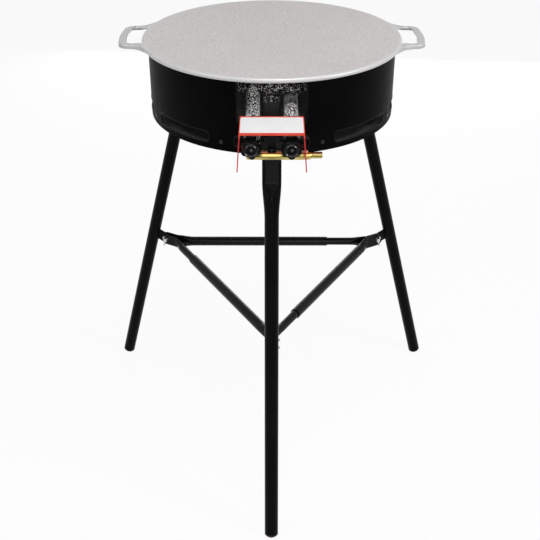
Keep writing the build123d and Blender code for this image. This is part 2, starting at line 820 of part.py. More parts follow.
def make_tab():
    """Plate welded square to the inner side of the leg, with a round end about the bolt."""
    half = tab_thickness / 2
    plate = Pos(tab_reach / 2, 0, 0) * Box(tab_reach, tab_thickness, tab_height)
    plate = Pos(tab_bolt_radius, 0, brace_height) * Rot(0, -leg_splay, 0) * plate
    plate += rounded_end(tab_height, -half, half)
    return plate - leg_place() * leg_loft(0) - bolt_hole(4 * tab_thickness)


def make_brace(diameter, length, side):
    """Tube with a flattened end, bent off the tab towards the next leg on that side."""
    width = flattened_width(diameter, tube_wall, brace_flat_thickness)
    half = brace_flat_thickness / 2
    low, high = brace_offset - half, brace_offset + half
    strap = upright_strap(bend_radius, tab_bolt_radius, width, low, high) + rounded_end(width, low, high)
    bend = Pos(bend_radius, brace_offset, brace_height)
    bend = bend * Cylinder(half + brace_fold_bead, width - 2 * brace_fold_inset)
    heading = math.radians(180 - brace_angle)
    along = (math.cos(heading), math.sin(heading), 0)
    start = Plane(origin=(bend_radius, brace_offset, brace_height), x_dir=(0, 0, 1), z_dir=along)
    flat = Rot(0, 0, 90) * flat_section(brace_flat_thickness, width)
    flared = start.offset(brace_flare_length)
    flare = loft([start * flat, flared * round_section(diameter)], ruled=True)
    tube = extrude(flared * Circle(diameter / 2), length - brace_flare_length)
    bore = extrude(flared * Circle(diameter / 2 - tube_wall), length - brace_flare_length)
    brace = strap + bend + flare + (tube - bore) - bolt_hole(8 * brace_offset)
    return brace if side > 0 else mirror(brace, Plane.XZ)


def stack_half():
    """Half of what the bolt clamps: the tab and a strap on each side."""
    return tab_thickness / 2 + brace_flat_thickness


def make_bolt(side):
    stack = stack_half()
    head_end = stack + bolt_head_height
    head = hex_bar(
        bolt_head_flats,
        (tab_bolt_radius, -head_end * side, brace_height),
        (tab_bolt_radius, -stack * side, brace_height),
    )
    tail = stack + nut_seat_gap + nut_height + bolt_tail
    shank = rod(
        bolt_diameter,
        (tab_bolt_radius, -stack * side, brace_height),
        (tab_bolt_radius, tail * side, brace_height),
    )
    return head + shank


def make_wing_nut(side):
    """Tapered boss with two upright wings, bored to run on the bolt."""
    boss = Pos(0, 0, nut_height / 2) * Cone(nut_base_radius, nut_neck_radius, nut_height)
    bore = bolt_diameter / 2 + nut_running_clearance
    wing_root = bore + nut_bore_web
    wing_outline = make_face(
        Polyline(
            (wing_root, nut_wing_foot),
            (nut_neck_radius, nut_wing_foot),
            (nut_wing_reach, nut_wing_heel),
            (nut_wing_reach, nut_wing_top),
            (nut_wing_reach - nut_wing_tip, nut_wing_top),
            (wing_root, nut_height - nut_throat_step),
            close=True,
        )
    )
    tips = wing_outline.vertices().sort_by(Axis.X)[-3:]
    wing_outline = fillet(tips, nut_wing_thickness / 2)
    wing = extrude(Plane.XZ * wing_outline, nut_wing_thickness / 2, both=True)
    nut = boss + wing + mirror(wing, Plane.YZ)
    nut -= Pos(0, 0, nut_wing_top / 2) * Cylinder(bore, 2 * nut_wing_top)
    upright = Rot(0, 0, 90) * nut
    seat = side * (stack_half() + nut_seat_gap)
    return Pos(tab_bolt_radius, seat, brace_height) * Rot(-90 * side, 0, 0) * upright


os.makedirs("parts", exist_ok=True)

save("griddle_pan", make_pan())
save("drum_shell", make_drum_shell())
save("drum_floor", make_drum_floor())
save("floor_clips", *make_clips())
save("drum_rivets", *make_rivets())
save("outer_ring", make_ring(outer_ring_radius, outer_port_count, make_feed(-1)))
save("inner_ring", make_ring(inner_ring_radius, inner_port_count, make_feed(1)))
save("outer_mixing_tube", make_mixing_tube(-1, outer_ring_radius))
save("inner_mixing_tube", make_mixing_tube(1, inner_ring_radius))
save("gas_manifold", make_manifold())
save("manifold_plug", make_manifold_plug())
save("hose_barb", make_hose_barb())
save("heat_shield", make_heat_shield())
save("shield_plate", make_shield_plate())
save("shield_bracket", make_shield_bracket())
save("bracket_screw", make_bracket_screw())

for hand, side in (("left", -1), ("right", 1)):
    save(f"injector_{hand}", make_injector(side))
    save(f"valve_body_{hand}", make_valve_body(side))
    save(f"valve_spindle_{hand}", make_spindle(side))
    save(f"knob_{hand}", make_knob(side))
    save(f"knob_screw_{hand}", make_knob_screw(side))

brace_span = 2 * math.cos(math.radians(brace_angle)) * (
    bend_radius + brace_offset / math.tan(math.radians(brace_angle))
) - 2 * brace_offset / math.sin(math.radians(brace_angle))
wide_length = brace_span - brace_slim_showing
slim_length = brace_slim_showing + brace_engaged
for name, azimuth in leg_azimuths.items():
    nut_side = nut_sides[name]
    save(f"burner_arm_{name}", at_azimuth(make_arm(), azimuth))
    save(f"leg_tongue_{name}", at_azimuth(make_tongue(), azimuth))
    save(f"leg_tube_{name}", at_azimuth(make_leg_tube(), azimuth))
    save(f"foot_plug_{name}", at_azimuth(make_foot_plug(), azimuth))
    save(f"brace_tab_{name}", at_azimuth(make_tab(), azimuth))
    save(f"brace_wide_{name}", at_azimuth(make_brace(brace_wide_diameter, wide_length, -1), azimuth))
    save(f"brace_slim_{name}", at_azimuth(make_brace(brace_slim_diameter, slim_length, 1), azimuth))
    save(f"brace_bolt_{name}", at_azimuth(make_bolt(nut_side), azimuth))
    save(f"wing_nut_{name}", at_azimuth(make_wing_nut(nut_side), azimuth))
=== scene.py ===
import math

import bpy
import numpy as np
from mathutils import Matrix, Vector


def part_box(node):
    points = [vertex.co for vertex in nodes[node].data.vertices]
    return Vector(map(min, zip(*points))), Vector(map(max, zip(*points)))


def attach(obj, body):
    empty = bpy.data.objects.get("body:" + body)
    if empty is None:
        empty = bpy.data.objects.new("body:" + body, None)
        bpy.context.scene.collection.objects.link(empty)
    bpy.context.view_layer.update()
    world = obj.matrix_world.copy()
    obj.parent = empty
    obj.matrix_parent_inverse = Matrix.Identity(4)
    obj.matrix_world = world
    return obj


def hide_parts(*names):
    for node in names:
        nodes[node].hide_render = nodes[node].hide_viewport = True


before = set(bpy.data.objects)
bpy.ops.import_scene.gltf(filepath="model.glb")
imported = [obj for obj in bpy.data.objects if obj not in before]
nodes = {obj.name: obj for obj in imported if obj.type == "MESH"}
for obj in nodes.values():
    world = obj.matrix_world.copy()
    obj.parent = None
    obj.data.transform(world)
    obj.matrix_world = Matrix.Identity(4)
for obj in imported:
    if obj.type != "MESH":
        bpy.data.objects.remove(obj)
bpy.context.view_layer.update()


# Drum floor and its angle clips.
# Pressed steel sheet, painted dark and burnt to a pale grey scale under the burner; the scale is partly
# painted light. A pale band along the wall is painted light that falls in through the vent slots.
# The clips are spot-welded to the floor.
class Tone:
    """A value in a node tree. Arithmetic on it adds Math nodes, and node() adds any other node."""

    def __init__(self, tree, socket=None):
        self.tree = tree
        self.socket = socket

    def feed(self, socket, value):
        """Links a tone to a socket, or sets a plain number, colour or vector on it."""
        if isinstance(value, Tone):
            self.tree.links.new(value.socket, socket)
        else:
            socket.default_value = value

    def node(self, kind, settings, inputs, out=0):
        """Adds a node, makes its settings, then sets or links its sockets, and gives one of its outputs."""
        made = self.tree.nodes.new(kind)
        for key, value in settings.items():
            setattr(made, key, value)
        for key, value in inputs.items():
            self.feed(made.inputs[key], value)
        return Tone(self.tree, made.outputs[out])

    def math(self, operation, first, second=0.0):
        """One Math node on tones or numbers."""
        return self.node("ShaderNodeMath", {"operation": operation}, {0: first, 1: second})

    def __add__(self, other):
        return self.math("ADD", self, other)

    def __sub__(self, other):
        return self.math("SUBTRACT", self, other)

    def __rsub__(self, other):
        return self.math("SUBTRACT", other, self)

    def __mul__(self, other):
        return self.math("MULTIPLY", self, other)

    __radd__ = __add__
    __rmul__ = __mul__

    def most(self, other):
        """The larger of two values."""
        return self.math("MAXIMUM", self, other)

    def size(self):
        """The value without its sign."""
        return self.math("ABSOLUTE", self)

    def noise(self, scale, detail=2.0, rough=0.5):
        """Smooth noise over the piece's own coordinates, about 0.5 in the middle."""
        inputs = {"Vector": self, "Scale": scale, "Detail": detail, "Roughness": rough}
        return self.node("ShaderNodeTexNoise", {"noise_dimensions": "3D"}, inputs)

    def cells(self, scale):
        """Distance to the nearest of scattered points, in cells of one over the scale."""
        return self.node("ShaderNodeTexVoronoi", {"feature": "F1"}, {"Vector": self, "Scale": scale})

    def stretched(self, *scale):
        """The coordinates multiplied axis by axis."""
        return self.node("ShaderNodeVectorMath", {"operation": "MULTIPLY"}, {0: self, 1: scale})

    def moved(self, *offset):
        """The coordinates with an offset added."""
        return self.node("ShaderNodeVectorMath", {"operation": "ADD"}, {0: self, 1: offset})

    def axis(self, name):
        """One of the coordinates, X, Y or Z."""
        return self.node("ShaderNodeSeparateXYZ", {}, {0: self}, name)

    def length(self):
        """The coordinates' distance from the origin."""
        return self.node("ShaderNodeVectorMath", {"operation": "LENGTH"}, {0: self}, "Value")

    def from_axis(self):
        """The coordinates' distance from the upright axis."""
        return self.stretched(1.0, 1.0, 0.0).length()

    def step(self, low, high):
        """Smooth rise from 0 to 1 between two values."""
        inputs = {"Value": self, "From Min": low, "From Max": high}
        return self.node("ShaderNodeMapRange", {"interpolation_type": "SMOOTHSTEP"}, inputs)

    def between(self, first, second):
        """Mixes two colours by this value."""
        return self.node("ShaderNodeMix", {"data_type": "RGBA"}, {0: self, 6: first, 7: second}, 2)

    def bump(self, depth):
        """A normal that follows this height, in metres."""
        return self.node("ShaderNodeBump", {}, {"Strength": 1.0, "Distance": depth, "Height": self})


def new_finish(name, **constants):
    """A material with its constant sockets set. Gives the material, its shader's sockets, and its object
    coordinates as a tone."""
    material = bpy.data.materials.new(name)
    material.use_nodes = True
    tree = material.node_tree
    sockets = tree.nodes["Principled BSDF"].inputs
    for key, value in constants.items():
        sockets[key.replace("_", " ")].default_value = value
    where = Tone(tree).node("ShaderNodeTexCoord", {}, {}, "Object")
    return material, sockets, where


def grey(level):
    """An even grey as a colour."""
    return (level, level, level, 1)


def coat(material, *names):
    """Puts a finish on the slots of CAD nodes."""
    for name in names:
        for place in nodes[name].material_slots:
            place.material = material


scale_radius, paint_radius, ragged_reach = 0.150, 0.190, 0.05
# Painted light: past these radii the floor grows pale towards the wall, for light from the vent slots.
slot_light_start, slot_light_full = 0.204, 0.230
# The pale scale is partly painted light, and the pale grey at the wall is painted light from the slots.
pale_scale_and_light, dark_scale_and_light = grey(0.66), grey(0.52)
sheet_black, slot_light_grey = grey(0.025), grey(0.26)


def burnt_sheet():
    """By distance from the axis: pale scale in the middle, partly painted light, dark paint past a ragged
    ring, then a pale band that is painted light from the vent slots.
    """
    material, sockets, where = new_finish("burnt_sheet", Specular_IOR_Level=0.1)
    from_axis = where.from_axis()
    ragged = (where.noise(40.0, 4.0) - 0.5) * ragged_reach
    painted = (from_axis + ragged).step(scale_radius, paint_radius)
    # The pale scale stands partly for painted light that comes in through the notch.
    scale = where.noise(90.0, 4.0).step(0.35, 0.7).between(pale_scale_and_light, dark_scale_and_light)
    # Painted light: the floor grows pale towards the wall, for light that falls in through the vent slots.
    rest = from_axis.step(slot_light_start, slot_light_full).between(sheet_black, slot_light_grey)
    where.feed(sockets["Base Color"], painted.between(scale, rest))
    where.feed(sockets["Roughness"], 0.7 - painted * 0.2)
    where.feed(sockets["Normal"], where.noise(500.0, 2.0).bump(0.00005))
    return material


coat(burnt_sheet(), "drum_floor", "floor_clips")


# Drum, the wind guard round the burner.
# Steel sheet rolled into a ring and powder-coated satin black, and pale grey inside, which is partly
# painted light for the light inside the drum. The edges of its eight vent slots and of the lighting notch
# at the front are pressed into a small round lip.
def even_steps(path, count):
    """Points at even distances along a line of points, found by the length walked so far."""
    walked = np.concatenate([[0.0], np.cumsum(np.linalg.norm(np.diff(path, axis=0), axis=1))])
    places = np.linspace(0.0, walked[-1], count)
    return np.stack([np.interp(places, walked, axis) for axis in path.T], 1)


def turned(points, azimuth):
    """Points turned about the upright axis."""
    cosine, sine = math.cos(azimuth), math.sin(azimuth)
    return points @ np.array([[cosine, sine, 0.0], [-sine, cosine, 0.0], [0.0, 0.0, 1.0]])


def bead(path, outward, radius, around, closed=False):
    """A round bead: at each point of the path, a circle in the plane of the outward direction and the side
    direction, which is square to both the path and the outward direction."""
    if closed:
        along = np.roll(path, -1, 0) - np.roll(path, 1, 0)
    else:
        along = np.gradient(path, axis=0)
    side = np.cross(along, outward)
    side /= np.linalg.norm(side, axis=1, keepdims=True)
    turn = np.linspace(0.0, 2 * math.pi, around, endpoint=False)[None, :, None]
    reach = np.broadcast_to(np.reshape(radius, (-1, 1, 1)), (len(path), 1, 1))
    return path[:, None] + reach * (np.cos(turn) * outward[:, None] + np.sin(turn) * side[:, None])


def skin(name, grids, body, material, stands_for=(), ring=False, crease=45.0):
    """One piece from grids of points, whose rows close on themselves. Quads join neighbouring rows, and a
    fan to its mean point closes each end row, or in a ring the last row joins the first. Where the signed
    volume under a grid's faces is negative, the faces are turned round, so that they point outwards."""
    points, faces, used = [], [], 0
    for grid in grids:
        rows, across, _ = grid.shape
        index = np.arange(rows * across).reshape(rows, across)
        near, far = (index, np.roll(index, -1, 0)) if ring else (index[:-1], index[1:])
        quads = np.stack([near, np.roll(near, -1, 1), np.roll(far, -1, 1), far], -1).reshape(-1, 4)
        flat = grid.reshape(-1, 3)
        fans = np.zeros((0, 3), int)
        if not ring:
            first, last = index[0], index[-1]
            first_fan = np.stack([np.roll(first, -1), first, np.full(across, len(flat))], 1)
            last_fan = np.stack([last, np.roll(last, -1), np.full(across, len(flat) + 1)], 1)
            fans = np.concatenate([first_fan, last_fan])
            flat = np.concatenate([flat, [grid[0].mean(0), grid[-1].mean(0)]])
        corners = flat[np.concatenate([quads[:, :3], quads[:, [0, 2, 3]], fans])]
        volume = np.einsum("ij,ij->", corners[:, 0], np.cross(corners[:, 1], corners[:, 2]))
        turn = 1 if volume > 0 else -1
        points.append(flat)
        faces += (quads[:, ::turn] + used).tolist() + (fans[:, ::turn] + used).tolist()
        used += len(flat)
    mesh = bpy.data.meshes.new(name)
    mesh.from_pydata(np.concatenate(points).tolist(), [], faces)
    mesh.shade_smooth()
    mesh.set_sharp_from_angle(angle=math.radians(crease))
    mesh.materials.append(material)
    piece = bpy.data.objects.new(name, mesh)
    bpy.context.scene.collection.objects.link(piece)
    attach(piece, body)
    if stands_for:
        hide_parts(*stands_for)


drum_low, drum_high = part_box("drum_shell")
drum_radius, drum_wall = drum_high.x, 0.0015
lip_radius, lip_sides = 0.0011, 10
vent_count, vent_points, vent_half_angle = 8, 144, math.radians(16.5)
vent_half_width = drum_radius * math.sin(vent_half_angle)
vent_foot, vent_head, vent_corner = 0.767, 0.7885, 0.007
notch_half_width, notch_foot, notch_corner, notch_points = 0.0617, 0.799, 0.023, 90
facing_front = math.radians(-90)
coat_black, coat_dusty = grey(0.0016), grey(0.0028)
# Painted light: the inside greys are far paler than the coat, partly for light inside the drum.
inside_painted_light_dark, inside_painted_light_pale = grey(0.115), grey(0.150)
cloud_scale, streak_scale = 9.0, 60.0


def corner_arcs(half_width, foot, head, corner, first, last, count=49):
    """Outline of a rounded box between two angles: a circle's point at each angle, moved out to the centre
    of the corner that the angle faces."""
    angle = np.linspace(first, last, count)
    across = corner * np.cos(angle) + (half_width - corner) * np.sign(np.cos(angle))
    middle = (foot + head) / 2
    up = middle + corner * np.sin(angle) + ((head - foot) / 2 - corner) * np.sign(np.sin(angle))
    return np.stack([across, up], 1)


def on_wall(outline, radius, azimuth):
    """An outline drawn on a flat sheet and pushed straight onto the drum's wall, and the wall's outward
    direction there."""
    across, up = outline.T
    depth = np.sqrt(radius**2 - across**2)
    path = np.stack([depth, across, up], 1)
    outward = np.stack([depth, across, 0 * up], 1) / radius
    return turned(path, azimuth), turned(outward, azimuth)


def drum_coat():
    """Satin black powder coat outside and a pale grey inside that is partly painted light, told apart by the
    distance from the drum's axis.
    """
    material, sockets, where = new_finish("drum_powder_coat", Specular_IOR_Level=0.018)
    cloud = where.noise(cloud_scale, 4.0).step(0.42, 0.68)
    outside = cloud.between(coat_black, coat_dusty)
    # Painted light: the inside is made pale grey, partly for the light inside the drum.
    inside = where.noise(14.0, 4.0).step(0.35, 0.7).between(inside_painted_light_dark, inside_painted_light_pale)
    outer = where.from_axis().step(drum_radius - 0.8 * drum_wall, drum_radius - 0.4 * drum_wall)
    where.feed(sockets["Base Color"], outer.between(inside, outside))
    streak = where.noise(streak_scale, 3.0) - 0.5
    where.feed(sockets["Roughness"], streak * 0.1 + cloud * 0.05 + 0.40 + (1 - outer) * 0.2)
    where.feed(sockets["Normal"], where.noise(900.0, 1.0).bump(0.00002))
    return material


def satin_paint(name, colour, dusty, roughness, grain, gloss=0.1, peel=0.00004):
    """Satin paint: an orange-peel skin with a faint cloud of dust and handling marks."""
    material, sockets, where = new_finish(name, Specular_IOR_Level=gloss)
    cloud = where.noise(cloud_scale, 4.0).step(0.42, 0.68)
    where.feed(sockets["Base Color"], cloud.between(colour, dusty))
    streak = where.noise(streak_scale, 3.0) - 0.5
    where.feed(sockets["Roughness"], streak * 0.12 + cloud * 0.06 + roughness)
    where.feed(sockets["Normal"], where.noise(grain, 1.0).bump(peel))
    return material


coat(drum_coat(), "drum_shell")
lip_paint = satin_paint("lip_paint", grey(0.003), grey(0.005), roughness=0.30, grain=900.0, gloss=0.09)
lip_path_radius = drum_radius - 0.5 * lip_radius
# Both outlines start and end just off an axis, where the sign of the sine would be nought.
past_axis = 0.001
vent_first, vent_last = past_axis, past_axis + 2 * math.pi
vent_loop = corner_arcs(vent_half_width, vent_foot, vent_head, vent_corner, vent_first, vent_last)
vent_outline = even_steps(vent_loop, vent_points + 1)[:-1]
vent_lips = []
for vent in range(vent_count):
    vent_azimuth = facing_front + vent * 2 * math.pi / vent_count
    path, outward = on_wall(vent_outline, lip_path_radius, vent_azimuth)
    vent_lips.append(bead(path, outward, lip_radius, lip_sides, closed=True))
skin("vent_lips", vent_lips, "burner", lip_paint, ring=True)

# The notch is the lower half of a rounded box that is even about the drum's top edge.
notch_head = 2 * drum_high.z - notch_foot
notch_first, notch_last = -3.14, -past_axis
notch_arcs = corner_arcs(notch_half_width, notch_foot, notch_head, notch_corner, notch_first, notch_last)
notch_top = drum_high.z - lip_radius
left_end, right_end = [[-notch_half_width, notch_top]], [[notch_half_width, notch_top]]
notch_line = np.concatenate([left_end, notch_arcs, right_end])
path, outward = on_wall(even_steps(notch_line, notch_points), lip_path_radius, facing_front)
skin("notch_lip", [bead(path, outward, lip_radius, lip_sides)], "burner", lip_paint)


# Rivets round the foot of the drum.
# Blind rivets through the wall and the floor's clips: a low domed head with the hole that the mandrel left,
# painted over, and a swollen tail inside.
rivet_rise, rivet_radius, rivet_head = 0.0165, 0.0025, 0.0040
rivet_dome, dome_start, dome_power = 0.0014, 0.15, 0.8
hole_mouth, hole_floor, hole_depth = 0.0009, 0.0007, 0.0005
tail_start, tail_end, tail_round, tail_flat = 0.0032, 0.0057, 0.0006, 0.002


def rivet(azimuth, around=28):
    """A turned profile about an axis that points out of the drum: distance from the wall's face and radius,
    from the tail inside, along the shank, round the head's edge and over its dome, whose radius is a power
    of the cosine, to the small hole in its middle."""
    over = np.linspace(dome_start, 1.0, 10) * math.pi / 2
    dome_out = rivet_dome * np.sin(over)
    dome_radius = rivet_head * np.cos(over) ** dome_power
    keep = dome_radius > hole_mouth
    tail_out = [-tail_end, -tail_end, -tail_start]
    tail_radius = [tail_flat, rivet_head - tail_round, rivet_head]
    shank_out = [-tail_start, 0, 0]
    shank_radius = [rivet_radius, rivet_radius, rivet_head]
    hole_out = [rivet_dome, rivet_dome - hole_depth]
    hole_radius = [hole_mouth, hole_floor]
    out = np.concatenate([tail_out, shank_out, dome_out[keep], hole_out])[:, None]
    radius = np.concatenate([tail_radius, shank_radius, dome_radius[keep], hole_radius])[:, None]
    turn = np.linspace(0.0, 2 * math.pi, around, endpoint=False)
    across, up = radius * np.cos(turn), radius * np.sin(turn) + drum_low.z + rivet_rise
    return turned(np.stack([drum_radius + out + 0 * turn, across, up], -1), azimuth)


rivet_places = facing_front + (np.arange(vent_count) + 0.5) * 2 * math.pi / vent_count
rivet_paint = satin_paint("rivet_paint", coat_black, coat_dusty, roughness=0.08, grain=300.0, gloss=0.25)
rivets = [rivet(place) for place in rivet_places]
skin("painted_rivets", rivets, "burner", rivet_paint, ["drum_rivets"], crease=60.0)


# Burner rings and mixing tubes.
# Bent and welded steel tube, dipped in dark enamel and flecked with white, as on stove parts. The mixing
# tubes are flecked more thickly, which is partly painted light, for the brighter light that falls on them.
enamel_black, fleck_white = grey(0.006), (0.90, 0.90, 0.89, 1)


def flecked_enamel(name, cover, coarse_scale):
    """Near-black enamel with sharp irregular white flecks, where a coarse or a fine noise is above a level
    that falls as the cover rises. A broad noise gathers the flecks in patches."""
    material, sockets, where = new_finish(name, Specular_IOR_Level=0.05)
    patch = (where.noise(35.0, 2.0) - 0.5) * 0.25
    coarse = (where.noise(coarse_scale, 1.0) + patch).step(0.60 - cover, 0.63 - cover)
    fine = (where.noise(2.2 * coarse_scale, 1.0) + patch).step(0.66 - cover, 0.70 - cover)
    fleck = coarse.most(fine)
    where.feed(sockets["Base Color"], fleck.between(enamel_black, fleck_white))
    where.feed(sockets["Roughness"], fleck * 0.2 + 0.28)
    where.feed(sockets["Normal"], fleck.bump(0.00006))
    return material


ring_enamel = flecked_enamel("flecked_enamel", cover=-0.012, coarse_scale=360.0)
# Partly painted light: the mixing tubes get more flecks, for the brighter light that falls on them.
tube_enamel = flecked_enamel("thick_flecked_enamel", cover=0.055, coarse_scale=500.0)
coat(ring_enamel, "outer_ring", "inner_ring")
coat(tube_enamel, "outer_mixing_tube", "inner_mixing_tube")


# Burner arms and the tongues under them.
# Three flat steel arms carry the rings and turn down at their ends. Under each a plain dark bar is welded,
# which a leg pushes on to.
legs = {"front": math.radians(-90), "right": math.radians(30), "left": math.radians(150)}
arm_enamel = flecked_enamel("arm_enamel", cover=0.004, coarse_scale=360.0)
tongue_paint = satin_paint("tongue_paint", grey(0.022), grey(0.034), roughness=0.5, grain=700.0)
for leg in legs:
    coat(arm_enamel, f"burner_arm_{leg}")
    coat(tongue_paint, f"leg_tongue_{leg}")


# Gas train: manifold bar, end plug, hose barb, valve bodies and injectors.
# Drawn six-sided brass bar and turned brass fittings, a little dull from handling. The barb screws into the
# bar's right end and has saw-tooth ribs that hold the hose. The valve bodies are plated a dull grey.
bar_low, bar_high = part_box("gas_manifold")
bar_end, bar_up, bar_top = bar_high.x, (bar_low.z + bar_high.z) / 2, bar_high.z
# Painted reflection: the brown band and the pink top face stand for the red shield mirrored in the bar.
red_reflection_start, red_reflection_full = bar_top - 0.0032, bar_top - 0.0028
face_start, face_full = bar_top - 0.0004, bar_top - 0.0001
# Painted shade: the dark line on the bar's level corners.
corner_shade_half, corner_shade_fade, corner_shade_ragged, red_reflection_ragged = 0.0006, 0.0013, 0.0003, 0.0002
clean_brass, tarnished_brass = (0.55, 0.44, 0.155, 1), (0.38, 0.275, 0.088, 1)
# The dark corner colour is painted shade; the brown and pink are painted reflections of the red shield.
painted_corner_shade, reflected_red_brown, reflected_red_pink = (0.13, 0.10, 0.02, 1), (0.12, 0.026, 0.006, 1), (0.85, 0.42, 0.28, 1)


def drawn_brass():
    """Warm brass with fine draw lines along the bar and a brown tarnish in clouds. A dark line on the
    corners that lie level with the bar's axis is painted shade. A brown band near the bar's top and a dull
    pink on the top face, which is less metallic there, are painted reflections of the red shield above."""
    material, sockets, where = new_finish("drawn_brass")
    lines = where.stretched(0.06, 1.0, 1.0).noise(1400.0, 2.0)
    tarnish = where.noise(70.0, 3.0).step(0.45, 0.75)
    height = where.axis("Z")
    from_corner = (height - bar_up).size()
    # Painted shade along the corners that lie level with the axis.
    corner = 1 - (from_corner + lines * corner_shade_ragged).step(corner_shade_half, corner_shade_fade)
    corner_shaded = corner.between(tarnish.between(clean_brass, tarnished_brass), painted_corner_shade)
    # Painted reflection of the red shield near the top and on the top face.
    red_reflection_band = (height + lines * red_reflection_ragged).step(red_reflection_start, red_reflection_full)
    on_top = height.step(face_start, face_full)
    where.feed(sockets["Base Color"], red_reflection_band.between(corner_shaded, on_top.between(reflected_red_brown, reflected_red_pink)))
    where.feed(sockets["Metallic"], 1 - on_top * 0.7)
    where.feed(sockets["Roughness"], lines * 0.08 + tarnish * 0.10 + 0.13 + on_top * 0.2)
    where.feed(sockets["Normal"], lines.bump(0.00002))
    return material


barb_low, barb_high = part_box("hose_barb")
collar_length, collar_flat, collar_chamfer = 0.0050, 0.0065, 0.0006
rib_count, rib_pitch, rib_radius, rib_root = 5, 0.0037, 0.0065, 0.0053
rib_gap, rib_rise = 0.0004, 0.0005
barb_bore, barb_bore_depth, bore_chamfer = 0.0025, 0.012, 0.0004


def hose_barb(around=72):
    """Rows round the barb's axis. The collar's radius at each turn is that of a hexagon, its flat over the
    cosine of the turn from the nearest flat. Each rib then rises at once and falls evenly, and the end goes
    into the bore."""
    turn = np.linspace(0.0, 2 * math.pi, around, endpoint=False)
    from_flat = np.mod(turn, math.pi / 3) - math.pi / 6
    hexagon = collar_flat / np.cos(from_flat)
    worn = np.minimum(hexagon, collar_flat + 0.4 * collar_chamfer)
    collar_end, end = bar_end + collar_length, barb_high.x
    collar_places = np.array([0.0, collar_chamfer, collar_length - collar_chamfer, collar_length]) + bar_end
    rib_starts = collar_end + rib_gap + rib_pitch * np.arange(rib_count)
    rib_ends = rib_starts + rib_pitch - rib_gap
    rib_places = np.stack([rib_starts, rib_starts + rib_rise, rib_ends], 1).ravel()
    rib_radii = np.tile([rib_root, rib_radius, rib_root], rib_count)
    bore_places = [end - bore_chamfer, end, end, end - bore_chamfer, end - barb_bore_depth]
    bore_radii = [rib_root, rib_root - bore_chamfer, barb_bore + bore_chamfer, barb_bore, barb_bore]
    along = np.concatenate([collar_places, [collar_end], rib_places, bore_places])
    turned_rows = np.concatenate([[rib_root], rib_radii, bore_radii])[:, None] + 0 * turn
    radius = np.concatenate([[worn, hexagon, hexagon, worn], turned_rows])
    across = (barb_low.y + barb_high.y) / 2 + radius * np.cos(turn)
    up = (barb_low.z + barb_high.z) / 2 + radius * np.sin(turn)
    return np.stack([along[:, None] + 0 * turn, across, up], -1)


plated_grey, rubbed_yellow = (0.62, 0.61, 0.58, 1), (0.44, 0.41, 0.34, 1)


def dull_nickel():
    """Grey plating on brass, blotched and rubbed a little yellow."""
    material, sockets, where = new_finish("dull_nickel", Metallic=0.35)
    blotch = where.noise(160.0, 3.0).step(0.4, 0.65)
    where.feed(sockets["Base Color"], blotch.between(plated_grey, rubbed_yellow))
    where.feed(sockets["Roughness"], blotch * 0.15 + 0.30)
    where.feed(sockets["Normal"], where.noise(900.0, 2.0).bump(0.00003))
    return material


brass = drawn_brass()
nickel = dull_nickel()
hands = ("left", "right")
coat(brass, "gas_manifold", "manifold_plug")
skin("ribbed_barb", [hose_barb()], "burner", brass, ["hose_barb"], crease=28.0)
for hand in hands:
    coat(brass, f"injector_{hand}")
    coat(nickel, f"valve_body_{hand}")


# Heat shield over the valves, with its bracket, screw and plate.
# Folded steel sheet in glossy red paint, screwed to a bracket on the manifold. A plain white enamelled plate
# is glued on its top.
shield_low, shield_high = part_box("heat_shield")
shield_top = shield_high.z
lip_thickness, underside_margin, plate_margin = 0.0015, 0.004, 0.0017
shield_top_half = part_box("shield_plate")[1].x + plate_margin
under_start, under_full = shield_top - 0.0003, shield_top - 0.0007
# Painted shade: the red deepens down the sides.
side_shade_start, side_shade_full = shield_top - 0.005, shield_top - 0.013
bright_red, dull_red, shaded_red = (0.82, 0.080, 0.036, 1), (0.74, 0.056, 0.030, 1), (0.58, 0.022, 0.030, 1)
# The underside is dark grey.
underside_grey = grey(0.06)


def shield_paint():
    """Glossy signal red with a slight orange-peel skin, deeper red down the sides as painted shade, and dark
    grey underneath, where it is lower than the top face and inside the lip and the sides."""
    material, sockets, where = new_finish("shield_paint", Specular_IOR_Level=0.3)
    cloud = where.noise(25.0, 3.0).step(0.3, 0.7)
    height = where.axis("Z")
    # Painted shade: deeper red lower down the sides.
    side_shade = 1 - height.step(side_shade_full, side_shade_start)
    red = side_shade.between(cloud.between(bright_red, dull_red), shaded_red)
    below = 1 - height.step(under_full, under_start)
    behind_lip = where.axis("Y").step(shield_low.y + lip_thickness, shield_low.y + underside_margin)
    from_middle = where.axis("X").size()
    between_sides = 1 - from_middle.step(shield_top_half - underside_margin, shield_top_half - lip_thickness)
    # Dark grey underneath, inside the lip and the sides.
    where.feed(sockets["Base Color"], (below * behind_lip * between_sides).between(red, underside_grey))
    where.feed(sockets["Roughness"], cloud * 0.08 + 0.28)
    where.feed(sockets["Normal"], where.noise(500.0, 1.0).bump(0.00003))
    return material


def plate_enamel():
    """Plain white, faintly greyed by handling."""
    material, sockets, where = new_finish("plate_enamel")
    worn = where.noise(60.0, 4.0).step(0.5, 0.8)
    where.feed(sockets["Base Color"], worn.between(grey(0.90), grey(0.83)))
    where.feed(sockets["Roughness"], worn * 0.1 + 0.35)
    where.feed(sockets["Normal"], where.noise(350.0, 2.0).bump(0.00002))
    return material


coat(shield_paint(), "heat_shield")
coat(plate_enamel(), "shield_plate")
bracket_paint = satin_paint("bracket_paint", grey(0.004), grey(0.007), roughness=0.4, grain=700.0)
blackened = satin_paint("blackened_steel", grey(0.012), grey(0.020), roughness=0.20, grain=900.0, gloss=0.6)
coat(bracket_paint, "shield_bracket")
coat(blackened, "bracket_screw")


